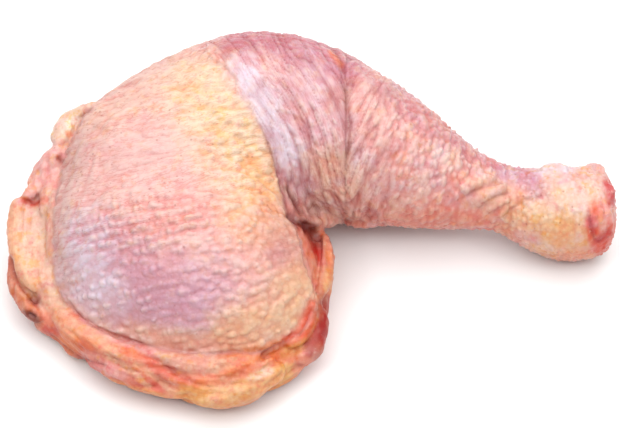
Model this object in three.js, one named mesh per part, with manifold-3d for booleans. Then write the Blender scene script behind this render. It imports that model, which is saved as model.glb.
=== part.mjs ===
// A raw chicken leg quarter, thigh and drumstick in one piece, lying skin side up.
// Millimetres, +Z up, +X along the drumstick, origin under the middle of the bounding box.
//
// The flesh is one implicit field: rounded primitives that melt into each other by a chosen
// amount, a lot at the knee and only a little where a fold of skin lies against the thigh.
// The field's zero surface is meshed on a grid and cut flat where the leg rests.
import * as THREE from "three";
import { mergeVertices } from "three/addons/utils/BufferGeometryUtils.js";
import Module from "manifold-3d";

// Driving dimensions
const THIGH_WIDTH = 102; // of the dome of skin, across the leg
const THIGH_DEPTH = 80; // of the dome, along the leg
const THIGH_HEIGHT = 45;
const RIM_LENGTH = 100; // oval through the middle of the folds round the thigh's cut base
const RIM_WIDTH = 76;
const PAD_HEIGHT = 18; // of the flat pad of meat inside that oval
const KNUCKLE_RADIUS = 15.4;
const SHANK_RADIUS = 10.8;
const SHANK_END_X = 97.5; // where the shank was cut through

// How the pieces of the leg lie on the table, seen from above
const LEG_TURN = THREE.MathUtils.degToRad(50); // the thigh's own axis, from hip to knee
const THIGH_CENTRE = new THREE.Vector3(-41, -9.6, 10.5);
const RIM_CENTRE = new THREE.Vector3(-44.5, -12, 0);

// Length over which two neighbouring surfaces melt together
const KNEE_BLEND = 22;
const GROIN_BLEND = 4;
const GROIN_TOP = 22; // up to this height above the front of the knee the groin stays a crease
const KNEE_TOP = 52; // and from this height on the thigh and the knee are one round back
const FOLD_BLEND = 3;
const PAD_BLEND = 6;
const CUT_BLEND = 5;

// Stations along the bone, from inside the hip over the bent knee to the cut shank
const BONE_STEPS = 48;
const STATIONS = [
  { x: -50, y: 22, z: 16, radius: 27 }, // hip
  { x: -36, y: 29.5, z: 19, radius: 29.5 },
  { x: -19, y: 34.5, z: 24, radius: 29 }, // knee
  { x: -3, y: 31.5, z: 26.5, radius: 26.7 },
  { x: 13, y: 22.5, z: 26.5, radius: 24.5 }, // calf
  { x: 28.5, y: 15, z: 24.5, radius: 20 },
  { x: 45.5, y: 9.8, z: 20.5, radius: 14 },
  { x: 63, y: 6.8, z: 17.7, radius: SHANK_RADIUS },
  { x: 82, y: 3, z: KNUCKLE_RADIUS - 0.4, radius: KNUCKLE_RADIUS }, // knuckle, resting on the table
  { x: 94.5, y: 3.8, z: KNUCKLE_RADIUS - 0.6, radius: KNUCKLE_RADIUS - 1.5 },
];

// Rolls of skin, fat and meat round the thigh's base. Angles in degrees run from +X seen from
// above; each pair gives a roll's value at its two ends.
const ROLL_STEPS = 24;
const ROLL_END_SIZE = 0.55; // of a roll's radius, left at its two ends
const ROLL_LUMPS = 3.5; // swellings along a roll
const ROLL_LUMP_SIZE = 0.1;
const ROLLS = {
  front_skin_fold: { angle: [200, 338], outset: [1, 0], height: [9, 9], radius: [8, 6.5] },
  front_fat: { angle: [226, 325], outset: [3, 4], height: [5, 5], radius: [6, 7.5] },
  left_skin_fold: { angle: [124, 225], outset: [-1, 1], height: [22, 9], radius: [7.5, 7] },
  left_meat: { angle: [176, 232], outset: [3, 5], height: [6, 5], radius: [6.5, 6.5] },
  upper_fat: { angle: [112, 140], outset: [-2, -4], height: [30, 26], radius: [6, 7] },
  right_meat: { angle: [308, 348], outset: [1, 0], height: [6, 7], radius: [8, 7.5] },
  right_fat: { angle: [346, 378], outset: [0, 2], height: [9, 11], radius: [6.5, 7.5] },
};

// Meshing
const CELL = 3.25;
const ROOM = new THREE.Box3(new THREE.Vector3(-120, -85, -12), new THREE.Vector3(115, 85, 70));
const SPARE_BELOW = 5; // flesh left under the resting plane, for a clean cut
const TABLE_SIDE = 400;
const TABLE_DEPTH = 40;

const clamp01 = (t) => Math.min(1, Math.max(0, t));
const { lerp, smoothstep, degToRad } = THREE.MathUtils;

// The smaller of two distances, rounded off over a length.
function blend(a, b, length) {
  const h = clamp01(0.5 + (0.5 * (b - a)) / length);
  return lerp(b, a, h) - length * h * (1 - h);
}

// Distance to an ellipsoid turned about the vertical.
function ellipsoid(centre, radii, turn) {
  const cos = Math.cos(turn);
  const sin = Math.sin(turn);
  return (p) => {
    const dx = p.x - centre.x;
    const dy = p.y - centre.y;
    const x = (cos * dx + sin * dy) / radii.x;
    const y = (cos * dy - sin * dx) / radii.y;
    const z = (p.z - centre.z) / radii.z;
    const reach = Math.hypot(x, y, z);
    const slope = Math.hypot(x / radii.x, y / radii.y, z / radii.z);
    return (reach * (reach - 1)) / Math.max(slope, Number.EPSILON);
  };
}

// Distance to a chain of balls { at, radius }, each joined to the next by a cone.
function sausage(balls) {
  const span = new THREE.Vector3();
  const offset = new THREE.Vector3();
  return (p) => {
    let nearest = Infinity;
    for (let i = 1; i < balls.length; i++) {
      const [a, b] = [balls[i - 1], balls[i]];
      span.subVectors(b.at, a.at);
      offset.subVectors(p, a.at);
      const t = clamp01(offset.dot(span) / span.lengthSq());
      const reach = offset.addScaledVector(span, -t).length();
      nearest = Math.min(nearest, reach - lerp(a.radius, b.radius, t));
    }
    return nearest;
  };
}

// Balls spaced evenly along a smooth curve through the bone's stations.
function ballsThrough(stations) {
  const path = new THREE.CatmullRomCurve3(stations.map((s) => new THREE.Vector3(s.x, s.y, s.z)));
  const size = new THREE.CatmullRomCurve3(stations.map((s) => new THREE.Vector3(s.radius, 0, 0)));
  return Array.from({ length: BONE_STEPS + 1 }, (_, i) => ({
    at: path.getPoint(i / BONE_STEPS),
    radius: size.getPoint(i / BONE_STEPS).x,
  }));
}

// Point above the oval rim of the thigh's base.
function rimPoint(degrees, outset, height) {
  const angle = degToRad(degrees) - LEG_TURN;
  return new THREE.Vector3(
    (RIM_WIDTH / 2 + outset) * Math.cos(angle),
    (RIM_LENGTH / 2 + outset) * Math.sin(angle),
    height,
  )
    .applyAxisAngle(new THREE.Vector3(0, 0, 1), LEG_TURN)
    .add(RIM_CENTRE);
}

// A lumpy roll along the rim that thins towards its two ends.
function rimRoll({ angle, outset, height, radius }, index) {
  return sausage(
    Array.from({ length: ROLL_STEPS + 1 }, (_, i) => {
      const share = i / ROLL_STEPS;
      const fullness = lerp(ROLL_END_SIZE, 1, Math.sqrt(Math.sin(Math.PI * share)));
      const lump = 1 + ROLL_LUMP_SIZE * Math.sin(2 * Math.PI * ROLL_LUMPS * share + 2 * index);
      return {
        at: rimPoint(lerp(...angle, share), lerp(...outset, share), lerp(...height, share)),
        radius: lerp(...radius, share) * fullness * lump,
      };
    }),
  );
}

const thigh = ellipsoid(
  THIGH_CENTRE,
  new THREE.Vector3(THIGH_DEPTH / 2, THIGH_WIDTH / 2, THIGH_HEIGHT - THIGH_CENTRE.z),
  LEG_TURN,
);
const pad = ellipsoid(
  RIM_CENTRE,
  new THREE.Vector3(RIM_WIDTH / 2, RIM_LENGTH / 2, PAD_HEIGHT),
  LEG_TURN,
);
const bone = sausage(ballsThrough(STATIONS));
const rolls = Object.values(ROLLS).map(rimRoll);

// Signed distance to the leg, negative inside.
function leg(p) {
  const upper = smoothstep(p.z + p.y / 2, GROIN_TOP, KNEE_TOP);
  let d = blend(thigh(p), bone(p), lerp(GROIN_BLEND, KNEE_BLEND, upper));
  d = blend(d, pad(p), PAD_BLEND);
  for (const roll of rolls) d = blend(d, roll(p), FOLD_BLEND);
  d = -blend(-d, SHANK_END_X - p.x, CUT_BLEND);
  return Math.max(d, -SPARE_BELOW - p.z);
}

// The zero surface of a field inside a box, as one vertex for each grid cell that it crosses.
function surfaceOf(field, box, cell) {
  const size = box.getSize(new THREE.Vector3());
  const [nx, ny, nz] = size.toArray().map((s) => Math.ceil(s / cell) + 1);
  const at = (i, j, k) => i + nx * (j + ny * k);
  const corner = (i, j, k) => new THREE.Vector3(i, j, k).multiplyScalar(cell).add(box.min);
  const values = new Float64Array(nx * ny * nz);
  for (let k = 0; k < nz; k++)
    for (let j = 0; j < ny; j++)
      for (let i = 0; i < nx; i++) values[at(i, j, k)] = field(corner(i, j, k));

  const corners = [0, 1, 2, 3, 4, 5, 6, 7].map((n) => [n & 1, (n >> 1) & 1, (n >> 2) & 1]);
  const edges = corners.flatMap((_, a) => [1, 2, 4].filter((bit) => !(a & bit)).map((bit) => [a, a | bit]));
  const vertexOf = new Int32Array(nx * ny * nz).fill(-1);
  const positions = [];
  for (let k = 0; k < nz - 1; k++)
    for (let j = 0; j < ny - 1; j++)
      for (let i = 0; i < nx - 1; i++) {
        const value = corners.map(([a, b, c]) => values[at(i + a, j + b, k + c)]);
        const middle = new THREE.Vector3();
        let crossings = 0;
        for (const [a, b] of edges) {
          if (value[a] < 0 === value[b] < 0) continue;
          const t = value[a] / (value[a] - value[b]);
          middle.add(new THREE.Vector3(...corners[a]).lerp(new THREE.Vector3(...corners[b]), t));
          crossings++;
        }
        if (!crossings) continue;
        vertexOf[at(i, j, k)] = positions.length / 3;
        middle.divideScalar(crossings).multiplyScalar(cell).add(corner(i, j, k));
        positions.push(...middle.toArray());
      }

  // A quad for each grid edge that the surface crosses, joining the four cells round it.
  const triangles = [];
  const steps = [[1, 0, 0], [0, 1, 0], [0, 0, 1]];
  for (let k = 1; k < nz - 1; k++)
    for (let j = 1; j < ny - 1; j++)
      for (let i = 1; i < nx - 1; i++)
        steps.forEach(([a, b, c], axis) => {
          const inside = values[at(i, j, k)] < 0;
          if (inside === values[at(i + a, j + b, k + c)] < 0) return;
          const [u, v] = [steps[(axis + 1) % 3], steps[(axis + 2) % 3]];
          const cellAt = (s, t) =>
            vertexOf[at(i - s * u[0] - t * v[0], j - s * u[1] - t * v[1], k - s * u[2] - t * v[2])];
          const quad = [cellAt(0, 0), cellAt(1, 0), cellAt(1, 1), cellAt(0, 1)];
          if (!inside) quad.reverse();
          triangles.push(quad[0], quad[1], quad[2], quad[0], quad[2], quad[3]);
        });
  return new THREE.BufferGeometry()
    .setAttribute("position", new THREE.Float32BufferAttribute(positions, 3))
    .setIndex(triangles);
}

const wasm = await Module();
wasm.setup();

// A closed geometry as a solid that can be cut.
function solidOf(geometry) {
  const bare = geometry.clone();
  bare.deleteAttribute("normal");
  bare.deleteAttribute("uv");
  const merged = mergeVertices(bare);
  return new wasm.Manifold(
    new wasm.Mesh({
      numProp: 3,
      vertProperties: new Float32Array(merged.attributes.position.array),
      triVerts: new Uint32Array(merged.index.array),
    }),
  );
}

// The flesh above the table, with its bounding box centred over the origin.
function restingLeg() {
  const table = new THREE.BoxGeometry(TABLE_SIDE, TABLE_SIDE, TABLE_DEPTH).translate(0, 0, -TABLE_DEPTH / 2);
  const cut = solidOf(surfaceOf(leg, ROOM, CELL)).subtract(solidOf(table)).getMesh();
  const geometry = new THREE.BufferGeometry()
    .setAttribute("position", new THREE.BufferAttribute(cut.vertProperties, 3))
    .setIndex(new THREE.BufferAttribute(cut.triVerts, 1));
  geometry.computeBoundingBox();
  const middle = geometry.boundingBox.getCenter(new THREE.Vector3());
  geometry.translate(-middle.x, -middle.y, 0);
  geometry.computeVertexNormals();
  return geometry;
}

const skin = new THREE.MeshStandardMaterial({ color: 0xe8b8ac, roughness: 0.45, metalness: 0 });
const mesh = new THREE.Mesh(restingLeg(), skin);
mesh.name = "leg_quarter";

const part = new THREE.Group();
part.add(mesh);
export default part;
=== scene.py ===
"""A raw chicken leg quarter, thigh and drumstick in one piece, on a plain white table.

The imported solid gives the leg's shape. Rolls of skin, fat and meat are laid round the thigh's rim and the
whole is meshed finely as one closed body. Creases, wrinkles and feather bumps are then raised on its skin.
Places read off the photograph are pixels of its frame. Sizes on the leg are millimetres. A pair of values
named for a border or an edge says where a thing starts and where it is full.
"""

import itertools
import math

import bmesh
import bpy
import numpy as np
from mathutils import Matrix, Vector
from mathutils.bvhtree import BVHTree
from mathutils.kdtree import KDTree


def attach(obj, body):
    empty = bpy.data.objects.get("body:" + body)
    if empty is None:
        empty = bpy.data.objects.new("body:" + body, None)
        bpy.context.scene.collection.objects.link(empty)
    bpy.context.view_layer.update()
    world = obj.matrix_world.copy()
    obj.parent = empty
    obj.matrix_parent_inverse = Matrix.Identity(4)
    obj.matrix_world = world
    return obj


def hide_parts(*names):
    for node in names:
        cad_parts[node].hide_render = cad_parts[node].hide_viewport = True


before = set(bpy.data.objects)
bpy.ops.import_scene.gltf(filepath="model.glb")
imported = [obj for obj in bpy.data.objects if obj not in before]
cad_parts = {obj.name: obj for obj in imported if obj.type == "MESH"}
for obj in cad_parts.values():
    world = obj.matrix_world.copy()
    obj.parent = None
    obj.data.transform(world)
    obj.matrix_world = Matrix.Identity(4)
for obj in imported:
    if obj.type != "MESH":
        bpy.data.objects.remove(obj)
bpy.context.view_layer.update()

MM = 0.001
SEED = 11

# The photograph's camera: millimetres, and pixels of its frame
PHOTO_WIDTH, PHOTO_HEIGHT = 620, 428
ELEVATION = math.radians(52)
DISTANCE = 765.0
PIXEL = 0.32  # size of a pixel at the aim point
SENSOR_WIDTH = 36.0
SIGHT_SPAN, SIGHT_STEP = 90, 2.0  # of the search along a line of sight that misses the leg
AIM = np.array([0.0, 0.9, 19.0])
RIGHT = np.array([1.0, 0.0, 0.0])
UP = np.array([0.0, math.sin(ELEVATION), math.cos(ELEVATION)])
FORWARD = np.array([0.0, math.cos(ELEVATION), -math.sin(ELEVATION)])
EYE = AIM - DISTANCE * FORWARD

# Meshing: voxels in millimetres, smoothing in rounds
BASE_VOXEL = 1.4
BASE_SMOOTHING = 14
FINE_VOXEL = 0.56
FINE_SMOOTHING = 4
BACK_SMOOTHING = 140
BACK_EDGE = (0.02, 0.35)  # of that smoothing, as the cosine of the turn away from the camera
BACK_HEIGHT_EDGE = (2, 6)  # and as the height above the table
MOST_TRIANGLES = 196_000

# Outline of the dome of skin over the thigh, clockwise from the top of the knee, as pixels
DOME = [
    (205, 50), (238, 92), (268, 140), (283, 200), (297, 228), (307, 272), (316, 300), (302, 332), (262, 352),
    (231, 351), (197, 355), (145, 344), (85, 318), (58, 285), (54, 215), (66, 150), (95, 106), (145, 68),
]
DOME_STEPS = 120
RIM_TUCK = 2.2  # how far the rim under the rolls lies in from the solid

# Line of the bone from hip to shank end, millimetres
BONE = [
    (-62, 12, 14), (-36, 30, 19), (-19, 35, 24), (-3, 32, 26),
    (13, 23, 26), (45, 11, 20), (64, 8, 18), (97, 5, 15),
]
BONE_STEPS = 80

# Rolls round the thigh's rim and on the shank: the pixels they run through, their radius there, and how far
# their middle stands out of the leg as a share of that radius
ROLLS = {
    "front_lump": (
        [(184, 394), (204, 397), (222, 397), (240, 392), (258, 382), (274, 372), (286, 367)],
        [2.6, 3.6, 4.2, 4.8, 4.8, 3.8, 2.4], 0.15),
    "front_strip": ([(100, 374), (132, 385), (164, 392), (190, 396)], [1.0, 1.8, 2.2, 2.2], 0.0),
    "front_fill": ([(158, 374), (186, 383), (212, 384), (240, 376)], [2.4, 3.6, 3.8, 2.8], 0.0),
    "front_meat": ([(82, 355), (107, 369), (136, 378), (160, 384)], [3.0, 4.0, 4.0, 2.5], -0.2),
    "flap": ([(52, 306), (72, 328), (104, 347), (140, 360), (172, 373)], [3.4, 4.6, 5.0, 4.6, 2.2], -0.25),
    "front_fold": (
        [(140, 348), (170, 359), (200, 366), (232, 362), (264, 354)], [1.4, 3.2, 4.4, 3.8, 2.2], 0.0),
    "crumple_1": ([(192, 372), (218, 364), (244, 353)], [1.0, 1.7, 1.0], 1.2),
    "crumple_2": ([(204, 380), (232, 371), (258, 358)], [1.0, 1.8, 1.0], 1.1),
    "crumple_3": ([(224, 383), (250, 372), (276, 357)], [1.0, 1.8, 1.0], 0.8),
    "right_meat": (
        [(318, 303), (322, 318), (320, 336), (312, 352), (298, 362)], [2.0, 3.4, 4.2, 4.0, 2.4], -0.1),
    "right_inner": ([(313, 300), (310, 318), (302, 334), (288, 347)], [1.4, 2.4, 2.6, 1.8], 0.0),
    "right_fat": (
        [(321, 227), (325, 240), (329, 256), (328, 272), (322, 292), (317, 304)],
        [1.6, 2.4, 2.6, 2.6, 1.8, 1.0], 0.1),
    "left_roll": (
        [(22, 194), (15, 210), (14, 230), (17, 252), (24, 273), (35, 292)],
        [2.2, 2.8, 3.2, 3.4, 3.0, 1.6], 0.0),
    "left_meat": ([(13, 248), (13, 264), (16, 285), (27, 306), (39, 321)], [1.0, 2.2, 3.2, 3.0, 2.4], 0.2),
    "upper_fat": ([(104, 103), (84, 112), (69, 122), (61, 134), (61, 147)], [0.9, 2.5, 3.7, 3.7, 2.5], 0.3),
    "pink_bed": ([(64, 146), (54, 160), (44, 174), (34, 192)], [2.6, 4.6, 5.2, 4.0], 0.05),
    "pink_fill": ([(57, 166), (51, 184), (46, 200), (43, 216)], [2.4, 3.4, 2.8, 1.2], 0.1),
    "pink_lump_1": ([(61, 154), (52, 158), (45, 164)], [1.4, 2.2, 1.4], 1.0),
    "pink_lump_2": ([(56, 168), (46, 171), (37, 178)], [1.4, 2.2, 1.4], 1.2),
    "pink_lump_3": ([(50, 182), (40, 185), (31, 192), (25, 201)], [1.4, 2.4, 2.4, 2.0], 0.5),
    "groin_fill": (
        [(300, 216), (314, 222), (334, 224), (358, 225), (384, 225)], [2.0, 3.4, 3.6, 3.2, 1.8], -0.1),
    "left_fill": ([(60, 172), (54, 190), (50, 215), (50, 245), (54, 268)], [1.6, 2.6, 2.8, 2.8, 1.8], -0.3),
    "shank_fold_1": ([(460, 190), (477, 183), (496, 178)], [1.4, 2.6, 1.7], 0.15),
    "shank_fold_2": ([(470, 204), (488, 194), (507, 187)], [1.6, 3.2, 1.9], 0.15),
    "shank_fold_3": ([(483, 211), (498, 203), (511, 197)], [1.4, 2.6, 1.6], 0.15),
    "shank_fold_4": ([(494, 217), (503, 211), (512, 206)], [1.2, 2.0, 1.3], 0.15),
    "shank_sinew_1": ([(591, 206), (593, 222), (598, 237)], [0.9, 1.4, 1.0], 0.3),
    "shank_sinew_2": ([(597, 201), (600, 217), (603, 233)], [0.9, 1.4, 1.0], 0.3),
    "shank_sinew_3": ([(605, 205), (608, 220), (609, 237)], [0.9, 1.5, 1.1], 0.3),
    "shank_cut": ([(606, 184), (610, 192), (611, 201)], [1.2, 1.7, 1.2], 0.3),
    "shank_corner": ([(582, 171), (594, 169), (603, 173)], [1.2, 2.0, 1.6], 0.4),
    "shank_knob": ([(541, 173), (554, 169), (570, 171)], [1.8, 3.0, 1.8], 0.1),
}
ROLL_STEPS = 40
ROLL_SIDES = 16
ROLL_SINK = 0.4  # how much deeper they all lie, as a share of the radius
ROLL_BLUNTNESS = 8  # the higher, the blunter their ends
ROLL_TIP = 0.01  # least cross-section at an end, as a share of the full one

# Creases in the skin: the pixels they run through, depth and half width in millimetres. Their depth also sets
# how much painted shade darkens them.
CREASES = {
    "dome_front": ([(62, 292), (85, 320), (115, 335), (160, 348)], 0.7, 0.5),
    "dome_right": ([(160, 346), (197, 354), (231, 351), (262, 350), (300, 333), (314, 305)], 0.35, 0.6),
    "groin": ([(262, 125), (275, 165), (285, 200), (297, 224)], 0.8, 0.6),
    "knee": ([(341, 66), (347, 105), (349, 138), (344, 170)], 1.3, 0.8),
    "front_recess": ([(136, 351), (161, 363), (184, 378), (213, 388)], 0.5, 0.6),
    "left_slit": ([(24, 199), (33, 203), (42, 200)], 0.7, 0.5),
    "left_hole": ([(57, 157), (63, 163)], 1.2, 0.9),
    "fat_slit": ([(78, 118), (86, 114), (94, 109)], 0.6, 0.5),
    "meat_hole": ([(30, 297), (38, 303)], 1.1, 0.9),
    "meat_slit": ([(27, 313), (37, 318)], 1.6, 1.0),
    "meat_edge": ([(10, 256), (16, 279), (28, 296)], 1.0, 0.5),
    "groin_slit": ([(288, 213), (300, 222), (316, 226)], 1.8, 0.9),
    "groin_pit": ([(304, 227), (314, 231), (319, 241)], 2.2, 2.2),
    "knee_gap_1": ([(287, 184), (294, 200), (304, 220)], 0.9, 0.6),
    "knee_gap_2": ([(306, 190), (314, 206), (322, 219)], 0.8, 0.6),
    "flap_edge": ([(46, 333), (62, 346), (84, 360), (108, 366)], 0.8, 0.6),
    "flap_line": ([(64, 334), (82, 348), (110, 358), (140, 372)], 0.3, 0.5),
    "right_gap": ([(296, 340), (306, 326), (312, 306)], 0.5, 0.5),
    "sinew_edge": ([(588, 208), (590, 224), (596, 240), (606, 237)], 0.5, 0.5),
    "shank_fold": ([(505, 214), (513, 208), (528, 199), (546, 194)], 0.5, 0.7),
    "fold_gap_1": ([(462, 198), (482, 188), (504, 182)], 0.5, 0.5),
    "fold_gap_2": ([(478, 208), (494, 198), (511, 192)], 0.6, 0.5),
    "fold_gap_3": ([(490, 214), (501, 207), (512, 202)], 0.5, 0.5),
}
CREASE_STEPS = 40
CREASE_TIP = 0.35  # share of its depth that a crease has at its ends
CREASE_TAPER = 4  # how fast it deepens from there, by the share of its length

# The smooth lilac stretch of the knee, its pale lilac partly a painted sheen, and the golden one of the
# thigh, as pixels
LILAC_SHEEN_STRETCH = [(242, 78), (262, 108), (284, 150)]
LILAC_WIDTH, LILAC_SOFTNESS = 13, 0.6
GOLDEN_STRETCH = [(208, 96), (228, 126), (252, 168), (268, 206)]
GOLDEN_WIDTH, GOLDEN_SOFTNESS = 34, 0.8

# Soft oval patches of the skin: middle and half lengths as pixels, turn in degrees
PATCHES = {
    "rows": ((155, 222), (95, 36), 10),
    "corner": ((290, 305), (55, 50), 0),
    "sleek_thigh": ((148, 150), (40, 24), 20),
    "sleek_groin": ((284, 240), (24, 34), 20),
    "wrist": ((527, 182), (28, 14), -30),
    "folds": ((488, 195), (28, 17), 30),
    "left_rim": ((38, 240), (18, 50), 0),
    "left_bed": ((40, 245), (26, 50), 0),
}
SLEEK_SHARE = 0.7  # of the groin and the lilac stretch
LEFT_EASE = dict(tuck=0.8, wrinkles=0.7, lumps=0.8)  # how much less of each the left rim has

# Borders of the skin's regions, as pixels; a slope tilts a border that runs across the frame
RIM_RIGHT_BORDER = (345, 325)
RIM_TOP_BORDER, RIM_TOP_SLOPE = (60, 110), 0.45
RIM_LEFT_BORDER, RIM_LEFT_RAGGED = (104, 80), 16
RIM_INNER_BORDER = (2, -4)  # by the distance in from the dome's outline
BACK_BLUR = 25  # how much wider the rim's borders are at the back
THIGH_BORDER = (-2, 3)  # by the distance in from the dome's outline
THIGH_BLUR, THIGH_RAGGED = 14, 10  # how much wider and more ragged it is where the skin runs on past it
RUN_ON_TOP_BORDER = (125, 80)
RUN_ON_SIDE_BORDER, RUN_ON_END_BORDER, RUN_ON_SIDE_SHARE = (96, 70), (290, 265), 0.7
LOW_BORDER, LOW_SLOPE = (265, 320), 0.35
HIGH_BORDER, HIGH_SLOPE = (235, 170), 0.3
KNEE_BORDER = (420, 360)
SHANK_BORDER = (500, 535)
STRUNG_BORDER = (225, 165)  # of the beads below the rows
BESIDE_BORDER = (356, 336)  # of the skin beside the thigh
ROWS_BORDER, ROWS_SLOPE = (110, 230), 0.3  # between the thigh's left side and its rows
FACING_EDGE = (-0.25, 0.05)  # cosines of the turn towards the camera
OVERHANG_EDGE = (0.2, -0.4)  # upward parts of the normal
UNDER_EDGE = (3.5, 0.8)  # millimetres above the table

# Noise over the skin, in layers: strength, size of its lumps in millimetres, seed
NOISES = {
    "ragged": [(0.6, 3.5, 8), (0.4, 1.3, 9)],
    "wander": [(14, 14, 1)],
    "wrinkles": [(1, 1.1, 3)],
    "waves": [(0.5, 9, 4)],
    "lumps": [(0.3, 3.5, 5), (0.15, 1.6, 6)],
    "bead_gaps": [(0.5, 6, 14)],
    "sway": [(1.4, 16, 15)],
}

# Relief of the skin, its sizes in millimetres: the plain value, then in order those of regions that change it
BUMP_SPACING = dict(plain=1.9, knee=2.0, thigh=2.2, low=2.6, high=2.2, shank=1.6, wrist=1.4)
BUMP_STRETCH = dict(plain=1.8, knee=2.4, thigh=1.8, low=1.3, high=2.0, shank=1.4, wrist=1.8)
BUMP_RADIUS = dict(plain=0.66, knee=0.7, thigh=0.78, low=0.68)  # as a share of the spacing
BUMP_HEIGHT = dict(
    plain=0.9, knee=0.55, thigh=0.4, low=1.05, high=0.55, golden=1.05, corner=0.7, rows=1.4, sleek=0.15,
    shank=0.4, wrist=0.6, folds=0.1, overhang=0.6, rim=0.15, under=0)
BEAD_PRESENCE = dict(plain=0.5, low=0.45, rows=0.95)
WRINKLE_HEIGHT = dict(
    plain=0.08, knee=0.12, thigh=0.14, low=0.1, high=0.18, shank=0.06, folds=0.04, rim=0.2, under=0)
FURROW_DEPTH = dict(
    plain=0.08, knee=0.6, thigh=0.1, low=0, sleek=0.35, shank=0, folds=0, rim=0, back=0.05, under=0)
BUMP_TRIES = 90_000
WRINKLE_STEPS = 80
WRINKLE_GRAIN = 4  # the higher, the closer wrinkles keep to the grain
FURROW_SEED, FURROW_SOFTNESS = 12, 0.12

# Random factors of a bump's spacing, size, height and length, and the spread of its turn in radians
SPACINGS = (0.7, 1.35)
SIZES = (0.65, 1.2)
LIFTS = (0.4, 1.0)
LENGTHS = (0.75, 1.25)
SKEW = 0.25

# Random half lengths, half widths, heights and slips from its place of a bead, in beads
BEAD_LENGTHS = (0.45, 0.9)
BEAD_WIDTHS = (0.36, 0.56)
BEAD_LIFTS = (0.35, 1.0)
BEAD_SLIPS = (0.7, 0.3)  # along its row and across
BEAD_EDGE = (-0.05, 0.05)  # of its presence

# How high the skin counts as, from 0 to 1, for its colour
HEIGHT_MIDDLE = 0.45  # of a bump
HEIGHT_OF_BUMPS = dict(plain=0.9, high=0.4)
HEIGHT_OF_WRINKLES = 0.14

# How strongly low and high places differ in colour, by region as above: the low ones are partly painted
# shade, the high ones partly a painted highlight
CONTRAST = dict(
    plain=0.9, knee=0.7, thigh=0.5, low=0.55, high=0.7, golden=0.95, corner=0.5, rows=0.95, sleek=0.25,
    shank=0.5, wrist=0.7, folds=0.3, back=0.6, rim=0.5)

# How strongly the material's patterns show and how rough it is, by region as above
LAYERS = {
    "ruddy": dict(plain=0.35, knee=0.35, thigh=0.5, low=0.3, high=0.4, sleek=0.25, rim=0.9, shank=0.3),
    "pored": dict(plain=0.5, knee=0.2, thigh=0.6, low=0.3, shank=0.7, rim=0.3),
    "streaky": dict(plain=0.2, knee=0.5, thigh=0.5, low=0, sleek=0.3, shank=0, rim=0.1, back=0.1),
    "rough": dict(plain=0.3, thigh=0.46, low=0.24, high=0.46, rim=0.38),
    "motley": dict(
        plain=0.6, knee=0.3, thigh=0.4, low=0.3, high=0.45, golden=0.8, sleek=0.25, shank=1, rim=1),
    "cobbled": dict(plain=0.5, knee=0.2, thigh=0.2, low=0.45, shank=0.45, wrist=0.9, rim=0.4),
}

# Grain of the skin
ROW_TURN = math.radians(13)  # of the rows of bumps on the thigh, rising to the right as the camera sees them
SIDE_TURN = math.radians(42)  # of those on its left side
BEAD = (2.1, 3.0)  # spacing of the bumps strung in rows on the thigh, along and across
RING_RADIUS = 22.0  # of the leg, for lengths round it
FURROW = (12.0, 1.9, 40.0)  # length, width and depth of the skin between furrows
STREAK = (6.0, 1.3, 30.0)  # length, width and depth of the finest streaks

# Display colours of the skin and what lies under it
COLOURS = {
    "pink": (246, 198, 191),
    "shell": (253, 222, 214),
    "cream": (251, 216, 194),
    "peach": (255, 206, 164),
    "blush": (240, 184, 168),
    "yellow": (255, 226, 190),
    "grey": (222, 190, 182),
    "mauve": (220, 174, 195),
    "lilac": (242, 228, 243),
    "rose": (212, 138, 156),
    "butter": (255, 214, 146),
    "rust": (198, 124, 94),
    "salmon": (250, 150, 120),
    "orange": (255, 146, 74),
    "raw": (240, 88, 52),
    "fat": (252, 184, 104),
    "pale_fat": (255, 241, 224),
    "flush": (250, 189, 188),
    "meat": (224, 90, 74),
    "brown": (226, 134, 102),
    "maroon": (180, 34, 24),
    "blood": (216, 26, 12),
    # a dark red-brown used as painted shade in hollows
    "hollow_shade": (122, 44, 34),
    "pale": (254, 232, 218),
}
STUDIO_LIGHT = 1.4  # how much brighter than the display's white the studio shows a white thing

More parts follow.
